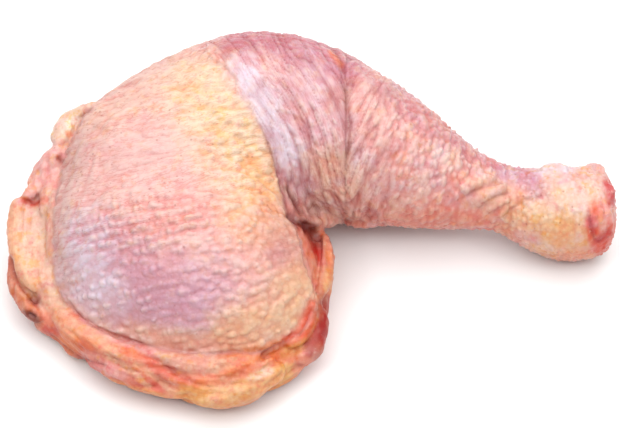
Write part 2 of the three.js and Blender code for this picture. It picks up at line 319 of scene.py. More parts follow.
# Strokes of colour by the part of the skin that they lie on, in order: colour, the pixels it runs through,
# half width in pixels, strength
STROKES = {
    "leg": [
        ("rose", [(240, 40), (276, 40), (314, 50), (350, 70)], 18, 0.9),
        ("orange", [(331, 53), (341, 64)], 3, 0.8),
        ("rose", [(386, 86), (436, 130), (495, 162)], 12, 0.5),
        ("mauve", [(302, 84), (318, 126)], 30, 0.5),
        ("lilac", [(322, 100), (334, 140), (352, 170)], 20, 0.3),
        ("rust", [(332, 96), (338, 130), (336, 158)], 9, 0.25),
        # the knee's pale lilac band: partly its own colour, partly a painted sheen
        ("lilac", LILAC_SHEEN_STRETCH, 20, 0.95),
        ("lilac", [(286, 148), (296, 176), (314, 200)], 18, 0.6),
        ("salmon", [(350, 224), (410, 222), (470, 222), (505, 232)], 18, 0.8),
        ("peach", [(326, 165), (344, 190), (326, 206)], 20, 0.5),
        ("rust", [(286, 190), (300, 214)], 13, 0.4),
        # painted shade in the groin's hollow
        ("hollow_shade", [(286, 188), (294, 201), (303, 217)], 3, 0.6),
        ("salmon", [(464, 190), (490, 197), (512, 204)], 16, 0.75),
        ("shell", [(436, 150), (462, 167), (484, 176)], 8, 0.7),
        # paler crests of the shank's folds, partly a painted highlight
        ("cream", [(462, 189), (494, 178)], 5, 0.6),
        ("cream", [(474, 202), (490, 193), (508, 187)], 6, 0.7),
        ("cream", [(486, 209), (511, 197)], 5, 0.6),
        ("mauve", [(508, 172), (530, 178), (546, 188)], 11, 0.85),
        ("lilac", [(540, 171), (566, 170)], 7, 0.8),
        ("yellow", [(522, 212), (556, 214), (588, 212)], 14, 0.8),
        ("fat", [(545, 242), (566, 235), (590, 230)], 17, 0.65),
        ("peach", [(510, 222), (540, 238)], 11, 0.8),
        ("flush", [(518, 234), (534, 241)], 6, 0.6),
        ("orange", [(556, 258), (590, 253)], 5, 0.5),
        ("cream", [(556, 194), (585, 196)], 16, 0.9),
        ("raw", [(598, 211), (599, 226), (602, 246)], 10, 0.9),
        ("raw", [(590, 222), (592, 236), (596, 248)], 5, 0.9),
        ("flush", [(601, 200), (603, 216), (602, 230)], 4, 0.6),
        ("flush", [(609, 208), (610, 226)], 3, 0.5),
        ("raw", [(613, 226), (611, 240), (604, 248)], 5, 0.8),
        ("blood", [(607, 183), (611, 192), (611, 202)], 5, 0.9),
        ("blood", [(591, 218), (593, 230), (597, 240)], 3, 0.8),
        ("blood", [(599, 239), (609, 232)], 4, 0.8),
        # painted shade in the hollow where the thigh tucks under the drumstick
        ("hollow_shade", [(292, 218), (318, 232)], 6, 0.8),
        # dark maroon meat of the groin pit, partly painted shade
        ("maroon", [(303, 226), (315, 234), (319, 248)], 7, 0.95),
    ],
    "thigh": [
        # pale shell pink over the thigh's middle, partly a painted sheen
        ("shell", [(108, 188), (148, 160), (176, 118)], 42, 0.2),
        ("cream", [(104, 112), (150, 82), (195, 66), (224, 66)], 22, 0.6),
        ("yellow", GOLDEN_STRETCH, 38, 0.95),
        ("fat", [(254, 168), (270, 208)], 10, 0.5),
        ("mauve", [(104, 266), (150, 290), (196, 304)], 42, 0.85),
        # a pale lilac painted sheen on the thigh's lower left
        ("lilac", [(86, 236), (80, 264), (100, 288)], 24, 0.85),
        ("grey", [(72, 145), (60, 190), (56, 240), (64, 280)], 12, 0.6),
        ("blush", [(272, 225), (285, 262), (280, 300)], 28, 0.8),
        ("rose", [(278, 254), (290, 262)], 11, 0.4),
        ("peach", [(302, 286), (286, 314), (236, 328)], 24, 0.85),
        ("peach", [(130, 336), (190, 340), (250, 340)], 11, 0.6),
        ("salmon", [(130, 339), (190, 345), (250, 344)], 8, 0.3),
        ("shell", [(70, 300), (90, 318), (125, 333), (150, 341)], 4, 0.6),
        ("orange", [(246, 350), (266, 347), (290, 340)], 4, 0.8),
        ("raw", [(288, 341), (303, 329), (312, 306)], 6, 0.9),
    ],
    "rim": [
        ("cream", [(40, 194), (36, 235), (46, 280), (58, 302)], 20, 0.95),
        ("peach", [(13, 204), (11, 235), (16, 262), (32, 290)], 7, 0.8),
        ("brown", [(4, 262), (10, 292), (31, 322)], 9, 1.0),
        ("brown", [(20, 296), (36, 318)], 8, 0.9),
        # painted shade in the holes of the meat
        ("hollow_shade", [(29, 297), (38, 304)], 4, 0.3),
        ("hollow_shade", [(26, 313), (37, 319)], 4, 0.8),
        ("pale_fat", [(102, 104), (78, 114), (60, 130), (58, 144)], 14, 1.0),
        ("orange", [(84, 123), (95, 113)], 2, 0.7),
        ("orange", [(68, 133), (74, 139)], 4, 0.8),
        ("flush", [(60, 154), (46, 168), (28, 190)], 16, 0.9),
        ("meat", [(58, 158), (63, 163)], 3, 0.7),
        ("raw", [(24, 200), (34, 204), (46, 199)], 3, 0.8),
        ("salmon", [(54, 320), (86, 340), (130, 357), (180, 378)], 12, 0.9),
        ("peach", [(50, 298), (62, 318), (84, 334), (118, 350)], 9, 0.6),
        ("flush", [(84, 318), (108, 333), (134, 346), (160, 353)], 5, 0.8),
        ("orange", [(68, 336), (94, 348)], 7, 0.5),
        ("meat", [(80, 352), (104, 367), (165, 382)], 11, 0.6),
        ("flush", [(88, 357), (104, 368), (120, 375)], 7, 0.6),
        ("raw", [(122, 350), (150, 362), (184, 380)], 4, 0.6),
        ("peach", [(104, 356), (128, 369), (148, 386)], 3, 0.7),
        ("peach", [(136, 364), (156, 378), (172, 392)], 3, 0.6),
        ("orange", [(55, 340), (72, 350)], 6, 0.8),
        ("fat", [(104, 382), (136, 391), (170, 399)], 4, 0.7),
        ("blush", [(166, 352), (190, 362), (215, 362)], 10, 0.8),
        ("peach", [(215, 366), (250, 356)], 8, 0.5),
        ("orange", [(196, 386), (232, 374), (262, 360)], 6, 0.7),
        ("orange", [(240, 353), (262, 351), (284, 343)], 4, 0.8),
        ("brown", [(222, 380), (245, 373), (266, 362)], 4, 0.6),
        ("fat", [(186, 397), (230, 398), (262, 384), (284, 372)], 12, 0.95),
        ("butter", [(208, 397), (236, 393), (262, 380), (284, 369)], 8, 0.45),
        # painted highlight on the fat lump's upper side
        ("pale_fat", [(252, 378), (270, 371)], 4, 0.6),
        ("orange", [(278, 352), (300, 338), (312, 306)], 11, 0.9),
        # painted highlight on the rim's right inner edge
        ("fat", [(286, 354), (304, 344)], 6, 0.7),
        ("raw", [(290, 341), (304, 330), (313, 308)], 5, 0.7),
        ("maroon", [(322, 304), (324, 326), (314, 350)], 10, 1.0),
        ("rust", [(322, 244), (328, 270), (322, 292)], 10, 0.6),
        # dark maroon meat of the groin pit, partly painted shade
        ("maroon", [(304, 227), (315, 234), (319, 248)], 7, 0.95),
        ("blood", [(318, 252), (322, 263)], 5, 0.9),
        ("orange", [(325, 230), (330, 248), (334, 270)], 5, 0.8),
        ("fat", [(330, 270), (329, 290)], 5, 0.8),
        # painted shade in the groin's slit
        ("hollow_shade", [(289, 213), (303, 222), (316, 228)], 4, 0.8),
        ("blood", [(46, 330), (56, 333)], 5, 0.6),
    ],
}
STROKE_SOFTNESS = {"leg": 0.7, "thigh": 0.8, "rim": 0.4}
STROKE_STEPS = 6  # for each of its pixels
STROKE_RAGGED = 0.4  # share of the half width
STROKE_REACH = 1.5  # farthest that a hard edge can lie, in half widths

# Patches of colour by noise, in order: colour, size in millimetres, seed, strength
LEG_PATCHES = [("lilac", 5.0, 21, 0.25), ("peach", 3.0, 22, 0.18), ("rose", 4.0, 23, 0.25)]
LEG_PATCH_EDGE = (0.15, 0.6)
RIM_PATCHES = [("cream", 7.0, 24, 0.8), ("meat", 5.0, 25, 0.6), ("fat", 6.0, 26, 0.6)]
RIM_PATCH_EDGE = (-0.2, 0.4)
SEEN_RIM_PATCHES = 0.25  # their share where the camera sees the rim

# Rings of colour on the shank's cut end, in order: colour, radius in millimetres, strength
CUT_RINGS = [("raw", 10.5, 0.9), ("flush", 4.5, 0.7), ("rose", 2.5, 0.6)]
CUT_RAGGED, CUT_SOFTNESS = 1.5, 2.5
CUT_TURN_EDGE = (0.35, 0.15)  # cosines of the turn towards the camera
CUT_PLACE_EDGE = (88, 93)  # millimetres along the leg

# Linear tints of low places, partly the skin's own redder colour and partly painted shade, with painted shade
# in creases and furrows; and how strongly they and the cream of high ones, partly a painted highlight, show
VALLEY_TONE_AND_SHADE = (0.95, 0.64, 0.63)
GOLDEN_VALLEY_TONE_AND_SHADE = (1.0, 0.74, 0.52)
GOLDEN_SHANK = 0.8  # how golden the shank's valleys are
CREASE_SHADE_TINT, CREASE_SHADE_SHARE = (0.48, 0.2, 0.17), 0.9
FURROW_SHADE_TINT = (0.7, 0.45, 0.47)
VALLEY_EDGE = (0.55, 0.0)
CREST_EDGE, CREST_TONE_AND_HIGHLIGHT_SHARE = (0.45, 1.0), 0.4

# Patterns of the skin's material: scale in lumps for each metre, detail and roughness; scale of cells
SKIN_NOISE = {"patches": (90.0, 3.0, 0.6), "flecks": (560.0, 6.0, 0.7), "hues": (300.0, 4.0, 0.6)}
SKIN_CELLS = {"pores": 320.0, "spots": 120.0, "pebbles": 620.0}
STREAK_NOISE = (1.0, 3.0, 0.6)
LINE_LEVEL = 0.47  # of the streaks, where fine lines run

# Tints over the skin's colour, in order: a named one covers it and a linear one multiplies it. Then its layer
# of strength, and by pattern the values where it starts and is full, with its shares there.
SKIN_TINTS = [
    ((0.96, 0.56, 0.5), "ruddy", {"flecks": (0.48, 0.72, 0, 1), "patches": (0.35, 0.65, 0.4, 1)}),
    ((1.0, 0.86, 0.52), "motley", {"hues": (0.52, 0.68, 0, 1)}),
    ((0.98, 0.76, 0.88), "motley", {"hues": (0.46, 0.3, 0, 1)}),
    ((1.0, 0.55, 0.45), "pored", {"spots": (0.3, 0.08, 0, 1), "flecks": (0.42, 0.6, 0, 1)}),
    # pale on the raised streaks: partly the skin's own colour, partly a painted highlight
    ("pale", "streaky", {"streaks": (0.52, 0.75, 0, 0.4)}),
    ((0.78, 0.52, 0.5), "streaky", {"lines": (0.05, 0, 0, 1)}),
    ("pale", "all", {"flecks": (0.44, 0.24, 0, 0.35)}),
    ((0.6, 0.42, 0.4), "pored", {"pores": (0.16, 0.06, 0, 1)}),
    # darker in the sunk gaps between the pebbles: painted shade
    ((0.84, 0.66, 0.6), "cobbled", {"pebbles": (0.4, 0.7, 0, 0.7)}),
]
ROUGH_PATCHES = (0.3, 0.7, 0.7, 1.2)  # factor of the roughness by the patches, set out as in a tint
SKIN_SHADER = {
    "Subsurface Weight": 0.2,
    "Subsurface Radius": (1.0, 0.4, 0.25),
    "Subsurface Scale": 0.001,
    "Coat Weight": 0.1,
    "Coat Roughness": 0.12,
    "Specular IOR Level": 0.4,
}
SKIN_BUMP = {"Strength": 0.85, "Distance": 0.0005}
FLECK_HEIGHT, PEBBLE_HEIGHT = 0.7, -0.7  # in that bump, where the streaks count 1

# The studio, in metres: each light's place, the side of its square and its power
LIGHTS = {
    "key": ((0.0, 0.1, 0.9), 1.6, 17.5),
    "back": ((0.2, 0.9, 0.45), 0.5, 1.2),
    "left": ((-0.6, -0.4, 0.8), 0.25, 1.4),
    "front": ((0.2, -0.6, 0.9), 0.4, 0.9),
    "right": ((0.6, -0.3, 0.75), 0.25, 1.0),
}
WORLD_SHADER = {"Color": (1, 1, 1, 1), "Strength": 0.34}
FLOOR_REACH = 3.0
FLOOR_SHADER = {"Base Color": (0.86, 0.86, 0.86, 1), "Roughness": 0.7}

# Numbers that shuffle the bits of a key
CELL_FACTORS = np.array([374761393, 668265263, 974634777])
SEED_FACTOR = 362437
SHIFTS_AND_FACTORS = ((13, 1274126177), (15, 668265263))
KEY_BITS = 0x7FFFFFFF


def linear(red, green, blue):
    """A display colour of 0 to 255, as the studio shows it, in the renderer's linear colour."""
    shares = np.array([red, green, blue]) / 255
    return np.where(shares <= 0.04045, shares / 12.92, ((shares + 0.055) / 1.055) ** 2.4) / STUDIO_LIGHT


def unit(vectors):
    return vectors / np.maximum(np.linalg.norm(vectors, axis=-1, keepdims=True), 1e-9)


def ramp(values, low, high):
    """0 below low, 1 above high and smooth between them; low may be the larger."""
    share = np.clip((values - low) / (high - low), 0, 1)
    return share * share * (3 - 2 * share)


def mix(first, second, share):
    return first + (second - first) * share


def shuffled(cells, seed):
    """A random share from 0 to 1 for each row of three whole numbers, always the same for the same row."""
    key = cells @ CELL_FACTORS + seed * SEED_FACTOR
    for shift, factor in SHIFTS_AND_FACTORS:
        key = ((key ^ (key >> shift)) * factor) & KEY_BITS
    return (key >> 8 & 0xFFFF) / 0xFFFF


def lattice_noise(points, seed):
    """Smooth noise from -1 to 1 with lumps about one unit across, one value for each point."""
    base = np.floor(points).astype(np.int64)
    inside = points - base
    fade = inside * inside * (3 - 2 * inside)
    total = np.zeros(len(points))
    for corner in itertools.product((0, 1), repeat=3):
        weight = np.prod(np.where(corner, fade, 1 - fade), axis=1)
        total += weight * (2 * shuffled(base + corner, seed) - 1)
    return total


def curve_through(rows, count, closed=False):
    """Rows evenly spread along a smooth curve through the given rows."""
    rows = np.asarray(rows, float)
    if closed:
        knots = np.vstack([rows[-1], rows, rows[0], rows[1]])
    else:
        knots = np.vstack([2 * rows[0] - rows[1], rows, 2 * rows[-1] - rows[-2]])
    spans = len(knots) - 3
    at = np.linspace(0, spans, count)
    first = np.minimum(at.astype(int), spans - 1)
    t = (at - first)[:, None]
    a, b, c, d = (knots[first + k] for k in range(4))
    return 0.5 * (2 * b + (c - a) * t + (2 * a - 5 * b + 4 * c - d) * t**2 + (3 * b - a - 3 * c + d) * t**3)


def line_distance(points, line):
    """Distance of each point to a line of points, and the share of the way along it of the nearest place."""
    nearest = np.full(len(points), np.inf)
    share = np.zeros(len(points))
    for i, (start, end) in enumerate(zip(line[:-1], line[1:])):
        span = end - start
        t = np.clip((points - start) @ span / (span @ span), 0, 1)
        reach = np.linalg.norm(points - start - t[:, None] * span, axis=1)
        closer = reach < nearest
        nearest = np.where(closer, reach, nearest)
        share = np.where(closer, (i + t) / (len(line) - 1), share)
    return nearest, share


def inside_outline(points, outline):
    """Distance in from a closed outline: positive inside it, negative outside; and the share along it."""
    crossings = np.zeros(len(points), int)
    for (x0, y0), (x1, y1) in zip(outline[:-1], outline[1:]):
        spans = (y0 > points[:, 1]) != (y1 > points[:, 1])
        rise = (y1 - y0) or 1e-9
        crossings += spans & (points[:, 0] < (x1 - x0) * (points[:, 1] - y0) / rise + x0)
    reach, share = line_distance(points, outline)
    return reach * np.where(crossings % 2, 1, -1), share


def to_pixels(points):
    """Where the photograph's camera sees points."""
    offset = points - EYE
    scale = DISTANCE / PIXEL / (offset @ FORWARD)
    column = PHOTO_WIDTH / 2 + scale * (offset @ RIGHT)
    row = PHOTO_HEIGHT / 2 - scale * (offset @ UP)
    return np.stack([column, row], axis=1)


def seen_at(tree, pixel):
    """The leg's surface and its normal at a pixel; past the outline, those nearest to that line of sight."""
    column, row = pixel
    sight = FORWARD * DISTANCE / PIXEL + RIGHT * (column - PHOTO_WIDTH / 2) - UP * (row - PHOTO_HEIGHT / 2)
    sight = unit(sight)
    place, normal, *_ = tree.ray_cast(Vector(EYE), Vector(sight))
    if place is None:
        reaches = np.arange(DISTANCE - SIGHT_SPAN, DISTANCE + SIGHT_SPAN, SIGHT_STEP)
        tries = [tree.find_nearest(Vector(EYE + reach * sight)) for reach in reaches]
        place, normal, *_ = min(tries, key=lambda found: found[3])
    return np.array(place), np.array(normal)


def points_of(mesh):
    flat = np.empty(len(mesh.vertices) * 3)
    mesh.vertices.foreach_get("co", flat)
    return flat.reshape(-1, 3) / MM


def normals_of(mesh):
    flat = np.empty(len(mesh.vertices) * 3)
    mesh.vertex_normals.foreach_get("vector", flat)
    return flat.reshape(-1, 3)


def set_points(mesh, points):
    mesh.vertices.foreach_set("co", (points * MM).ravel())
    mesh.update()


def apply_modifiers(piece):
    """Makes the mesh with its modifiers the piece's own mesh."""
    shaped = piece.evaluated_get(bpy.context.evaluated_depsgraph_get())
    mesh = bpy.data.meshes.new_from_object(shaped)
    piece.modifiers.clear()
    piece.data = mesh


def remesh(piece, voxel, smoothing):
    """One closed surface round all of a piece's shells, smoothed."""
    modifier = piece.modifiers.new("remesh", "REMESH")
    modifier.mode = "VOXEL"
    modifier.voxel_size = voxel * MM
    modifier = piece.modifiers.new("smooth", "SMOOTH")
    modifier.factor = 0.5
    modifier.iterations = smoothing
    apply_modifiers(piece)


def surface_tree(mesh):
    faces = [tuple(face.vertices) for face in mesh.polygons]
    return BVHTree.FromPolygons([Vector(point) for point in points_of(mesh)], faces)


def roll_line(tree, pixels, radii, rise):
    """Middle line of a roll, the leg's normal along it and its radius."""
    places, normals = zip(*(seen_at(tree, pixel) for pixel in pixels))
    middles = np.array(places) + np.array(normals) * (np.array(radii) * rise)[:, None]
    line = curve_through(np.column_stack([middles, normals, radii]), ROLL_STEPS)
    return line[:, :3], unit(line[:, 3:6]), line[:, 6]


def roll_shell(middles, normals, radii):
    """Vertices and faces of a roll with round ends."""
    along = unit(np.gradient(middles, axis=0))
    across = unit(np.cross(along, normals))
    out = np.cross(across, along)
    share = np.linspace(-1, 1, ROLL_STEPS)
    girth = radii * np.sqrt(np.clip(1 - share**ROLL_BLUNTNESS, ROLL_TIP, 1))
    turns = np.linspace(0, 2 * math.pi, ROLL_SIDES, endpoint=False)
    ring = across[:, None] * np.cos(turns)[:, None] + out[:, None] * np.sin(turns)[:, None]
    points = (middles[:, None] + girth[:, None, None] * ring).reshape(-1, 3)
    faces = []
    last = (ROLL_STEPS - 1) * ROLL_SIDES
    for start in range(0, last, ROLL_SIDES):
        for j in range(ROLL_SIDES):
            k = (j + 1) % ROLL_SIDES
            faces.append((start + j, start + k, start + ROLL_SIDES + k, start + ROLL_SIDES + j))
    faces.append(tuple(reversed(range(ROLL_SIDES))))
    faces.append(tuple(range(last, last + ROLL_SIDES)))
    return points, faces


def rim_share(skin):
    """1 on the thigh's rim and 0 elsewhere."""
    column, row = skin.pixels.T
    blur = BACK_BLUR * (1 - skin.facing)
    start, full = RIM_INNER_BORDER
    outside = ramp(skin.dome_depth + blur * skin.ragged, start + blur, full - blur)
    rim = outside * ramp(column, *RIM_RIGHT_BORDER) * ramp(row - RIM_TOP_SLOPE * column, *RIM_TOP_BORDER)
    start, full = RIM_LEFT_BORDER
    return np.maximum(rim, outside * ramp(column + RIM_LEFT_RAGGED * skin.ragged, start + blur, full - blur))


def melt_back(piece):
    """Evens out the rolls where the photograph's camera does not see them."""
    skin = Skin(piece.data)
    hidden = ramp(skin.normals @ FORWARD, *BACK_EDGE) * ramp(skin.points[:, 2], *BACK_HEIGHT_EDGE)
    alike = np.ones(len(skin.edges))
    even = np.stack([skin.spread(values, alike, BACK_SMOOTHING) for values in skin.points.T], axis=1)
    set_points(piece.data, mix(skin.points, even, hidden[:, None]))


def leg_body():
    """The leg as one closed fine mesh, rolls included."""
    piece = bpy.data.objects.new("leg_skin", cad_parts["leg_quarter"].data.copy())
    bpy.context.scene.collection.objects.link(piece)
    remesh(piece, BASE_VOXEL, BASE_SMOOTHING)
    tree = surface_tree(piece.data)
    skin = Skin(piece.data)
    tuck = RIM_TUCK * rim_share(skin) * (1 - LEFT_EASE["tuck"] * skin.patch("left_bed"))
    body = skin.points - skin.normals * tuck[:, None]
    body[:, 2] = np.maximum(body[:, 2], 0)
    shells = [body]
    faces = [tuple(face.vertices) for face in piece.data.polygons]
    for pixels, radii, rise in ROLLS.values():
        roll_points, roll_faces = roll_shell(*roll_line(tree, pixels, radii, rise - ROLL_SINK))
        start = sum(map(len, shells))
        shells.append(roll_points)
        faces += [tuple(index + start for index in face) for face in roll_faces]
    mesh = bpy.data.meshes.new("leg_skin")
    mesh.from_pydata((np.vstack(shells) * MM).tolist(), [], faces)
    piece.data = mesh
    remesh(piece, FINE_VOXEL, FINE_SMOOTHING)
    melt_back(piece)
    return piece


class Skin:
    """The leg's surface as arrays: points, normals, the pixels that see them, and masks from 0 to 1."""

    def __init__(self, mesh):
        self.points = points_of(mesh)
        self.normals = normals_of(mesh)
        self.pixels = to_pixels(self.points)
        self.facing = ramp(-(self.normals @ FORWARD), *FACING_EDGE)
        self.edges = np.empty(len(mesh.edges) * 2, int)
        mesh.edges.foreach_get("vertices", self.edges)
        self.edges = self.edges.reshape(-1, 2)
        self.dome = curve_through(DOME, DOME_STEPS, closed=True)
        self.dome_depth, self.dome_share = inside_outline(self.pixels, self.dome)
        self.ragged = self.noise("ragged")
        self.masks = {}

    def noise(self, name):
        layers = NOISES[name]
        return sum(strength * lattice_noise(self.points / size, seed) for strength, size, seed in layers)

    def spread(self, values, weights, steps):
        """Values evened out over the mesh, along each edge by its weight."""
        first, second = self.edges.T
        count = len(values)
        total = np.bincount(first, weights, count) + np.bincount(second, weights, count) + 1e-9
        for _ in range(steps):
            near = np.bincount(first, weights * values[second], count)
            near += np.bincount(second, weights * values[first], count)
            values = (values + near / total) / 2
        return values

    def patch(self, name):
        """A soft oval patch round a pixel, flat in its middle."""
        place, radii, turn = PATCHES[name]
        offset = self.pixels - np.array(place)
        cos, sin = math.cos(math.radians(turn)), math.sin(math.radians(turn))
        along = (offset[:, 0] * cos - offset[:, 1] * sin) / radii[0]
        across = (offset[:, 0] * sin + offset[:, 1] * cos) / radii[1]
        return np.exp(-((along**2 + across**2) ** 2))

    def stroke(self, pixels, half_width, softness):
        """A ragged stripe along a line of pixels, its edge softened over a share of its half width."""
        line = curve_through(pixels, STROKE_STEPS * len(pixels))
        spare = half_width * (STROKE_REACH + softness)
        low, high = line.min(axis=0) - spare, line.max(axis=0) + spare
        near = np.all((self.pixels > low) & (self.pixels < high), axis=1) & (self.facing > 0)
        mask = np.zeros(len(self.points))
        reach, _ = line_distance(self.pixels[near], line)
        edge = ramp(reach / half_width + STROKE_RAGGED * self.ragged[near], 1 + softness, 1 - softness)
        mask[near] = edge * self.facing[near]
        return mask

    def on_screen(self, across, up):
        """Tangents of the surface that the camera sees pointing across and up by the given amounts."""
        sight = RIGHT * across[:, None] + UP * up[:, None]
        return unit(sight - self.normals * np.sum(self.normals * sight, axis=1)[:, None])


def grain(skin, thigh, rim):
    """Tangents along which the skin is drawn out, and coordinates along and across them in millimetres.

    On the thigh they run in rows, beside it along its edge, and past the knee's crease they ring the bone.
    """
    line = curve_through(BONE, BONE_STEPS)
    reach, share = line_distance(skin.points, line)
    at = share * (len(line) - 1)
    axis = np.gradient(line, axis=0)
    lengths = np.concatenate([[0], np.cumsum(np.linalg.norm(np.diff(line, axis=0), axis=1))])
    steps = np.arange(len(line))
    axes = unit(np.stack([np.interp(at, steps, axis[:, k]) for k in range(3)], axis=1))
    nearest = np.stack([np.interp(at, steps, line[:, k]) for k in range(3)], axis=1)
    side = unit(np.cross(axes, [0, 0, 1.0]))
    offset = skin.points - nearest
    round_bone = np.arctan2(np.sum(offset * side, axis=1), np.sum(offset * np.cross(side, axes), axis=1))
    rings = unit(np.cross(skin.normals, axes))

    column, row = skin.pixels.T
    turn = mix(SIDE_TURN, ROW_TURN, ramp(column + ROWS_SLOPE * row, *ROWS_BORDER))
    rows = skin.on_screen(np.cos(turn), np.sin(turn))
    rings *= np.where(np.sum(rings * rows, axis=1) < 0, -1, 1)[:, None]
    along_edge = np.gradient(skin.dome, axis=0)
    edge = skin.dome_share * (len(skin.dome) - 1)
    steps_round = np.arange(len(skin.dome))
    edge_u, edge_v = (np.interp(edge, steps_round, along_edge[:, k]) for k in range(2))
    hem = skin.on_screen(edge_u, -edge_v)
    beside = np.maximum(rim, ramp(column, *BESIDE_BORDER)) * skin.facing * (1 - thigh)
    hem *= np.where(np.sum(hem * rings, axis=1) < 0, -1, 1)[:, None]

    row_axis = RIGHT * math.cos(ROW_TURN) + UP * math.sin(ROW_TURN)
    places = [thigh > 0.5, beside > 0.5]
    edge_length = np.sum(np.linalg.norm(np.diff(skin.dome, axis=0), axis=1)) * PIXEL
    round_edge = skin.dome_share * edge_length
    along = np.select(places, [skin.points @ row_axis, round_edge], round_bone * RING_RADIUS)
    down = skin.points @ np.cross(row_axis, FORWARD)
    across = np.select(places, [down, -skin.dome_depth * PIXEL], np.interp(at, steps, lengths))
    directions = unit(mix(mix(rings, hem, beside[:, None]), rows, thigh[:, None]))
    return directions, np.stack([along, across, reach], axis=1)


def scatter(skin, spacing, stretch, directions, rng):
    """Indices of points that keep their own spacing, drawn out along their directions."""
    cell = spacing.max()
    grid = {}
    chosen = []
    for index in rng.permutation(len(skin.points))[:BUMP_TRIES]:
        point = skin.points[index]
        home = tuple(np.floor(point / cell).astype(int))
        crowd = [i for step in itertools.product((-1, 0, 1), repeat=3)
                 for i in grid.get((home[0] + step[0], home[1] + step[1], home[2] + step[2]), ())]
        if crowd:
            offset = skin.points[crowd] - point
            along = offset @ directions[index]
            reach = np.sum(offset**2, axis=1) - along**2 * (1 - 1 / stretch[index] ** 2)
            if reach.min() < spacing[index] ** 2:
                continue
        grid.setdefault(home, []).append(index)
        chosen.append(index)
    return np.array(chosen)


def bump_field(skin, seeds, radius, stretch, directions, rng):
    """Height from 0 to 1 of uneven rounded bumps at the seeds, each drawn out along its direction."""
    tree = KDTree(len(skin.points))
    for i, point in enumerate(skin.points):
        tree.insert(point, i)
    tree.balance()
    height = np.zeros(len(skin.points))
    for seed in seeds:
        size = radius[seed] * rng.uniform(*SIZES)
        lift = rng.uniform(*LIFTS)
        skew = rng.normal(0, SKEW)
        reach = size * stretch[seed] * rng.uniform(*LENGTHS)
        heading = math.cos(skew) * directions[seed]
        heading = heading + math.sin(skew) * np.cross(skin.normals[seed], directions[seed])
        near = np.array([i for _, i, _ in tree.find_range(skin.points[seed], max(size, reach))])
        offset = skin.points[near] - skin.points[seed]
        along = offset @ heading
        across = np.sum(offset**2, axis=1) - along**2
        swell = np.clip(1 - across / size**2 - along**2 / reach**2, 0, 1)
        height[near] = np.maximum(height[near], lift * swell)
    return height


def bead_field(along, across, presence):
    """Height from 0 to 1 of uneven beads strung in rows; presence is the share of beads that are there.

    Both coordinates count beads: along a row, and from row to row.
    """
    height = np.zeros(len(along))
    home_row = np.floor(across).astype(np.int64)
    for row_step, bead_step in itertools.product((-1, 0, 1), repeat=2):
        row = home_row + row_step
        bead = np.floor(along).astype(np.int64) + bead_step
        slip_along, length, slip_across, width, lift, absence = (
            shuffled(np.stack([row, bead, np.full_like(row, k)], axis=1), SEED) for k in range(6))
        off_along = (along - bead - 0.5 - BEAD_SLIPS[0] * (slip_along - 0.5)) / mix(*BEAD_LENGTHS, length)
        off_across = (across - row - 0.5 - BEAD_SLIPS[1] * (slip_across - 0.5)) / mix(*BEAD_WIDTHS, width)
        rise = mix(*BEAD_LIFTS, lift) * ramp(presence - absence, *BEAD_EDGE)
        height = np.maximum(height, rise * np.clip(1 - off_along**2 - off_across**2, 0, 1))
    return height


def by_region(masks, values):
    """A value for each point: the plain one, changed in order to the others by the masks of their names."""
    field = np.full(len(masks["thigh"]), float(values["plain"]))
    for name, value in values.items():
        if name in masks:
            field = mix(field, value, masks[name])
    return field


def regions(skin):
    """Masks of the skin's regions."""
    column, row = skin.pixels.T
    wander = skin.noise("wander")
    side = ramp(column, *RUN_ON_SIDE_BORDER) * ramp(row, *RUN_ON_END_BORDER)
    run_on = np.maximum(ramp(row, *RUN_ON_TOP_BORDER), RUN_ON_SIDE_SHARE * side)
    start, full = THIGH_BORDER
    depth = skin.dome_depth + THIGH_RAGGED * skin.ragged * run_on
    thigh = ramp(depth, start - THIGH_BLUR * run_on, full + THIGH_BLUR * run_on) * skin.facing
    rim = rim_share(skin)
    return {
        "thigh": thigh,
        "low": thigh * ramp(row + LOW_SLOPE * column + wander, *LOW_BORDER),
        "high": thigh * ramp(row + HIGH_SLOPE * column + wander, *HIGH_BORDER),
        "rows": thigh * skin.patch("rows"),
        "golden": thigh * skin.stroke(GOLDEN_STRETCH, GOLDEN_WIDTH, GOLDEN_SOFTNESS),
        "corner": thigh * skin.patch("corner"),
        "knee": (1 - thigh) * ramp(column, *KNEE_BORDER) * (1 - rim),
        "sleek": np.maximum.reduce([
            skin.patch("sleek_thigh"),
            SLEEK_SHARE * skin.patch("sleek_groin"),
            SLEEK_SHARE * skin.stroke(LILAC_SHEEN_STRETCH, LILAC_WIDTH, LILAC_SOFTNESS)]),
        "shank": ramp(column, *SHANK_BORDER),
        "wrist": skin.patch("wrist") * skin.facing,
        "rim": rim,
        "back": 1 - skin.facing,
        "overhang": ramp(skin.normals[:, 2], *OVERHANG_EDGE),
        "folds": skin.patch("folds"),
        "under": ramp(skin.points[:, 2], *UNDER_EDGE),
    }


def feather_bumps(skin, directions, flow):
    """Height from 0 to 1 of the bumps where feathers grew: scattered, and strung in rows on the thigh."""
    masks = skin.masks
    rng = np.random.default_rng(SEED)
    spacing = by_region(masks, BUMP_SPACING) * rng.uniform(*SPACINGS, len(skin.points))
    stretch = by_region(masks, BUMP_STRETCH)
    seeds = scatter(skin, spacing, stretch, directions, rng)
    radius = spacing * by_region(masks, BUMP_RADIUS)
    bumps = bump_field(skin, seeds, radius, stretch, directions, rng)
    presence = by_region(masks, BEAD_PRESENCE) + skin.noise("bead_gaps") * masks["low"]
    beads = bead_field(flow[:, 0] / BEAD[0], (flow[:, 1] + skin.noise("sway")) / BEAD[1], presence)
    strung = np.maximum(masks["rows"], masks["low"] * ramp(skin.pixels[:, 0], *STRUNG_BORDER))
    return mix(bumps, beads, strung)


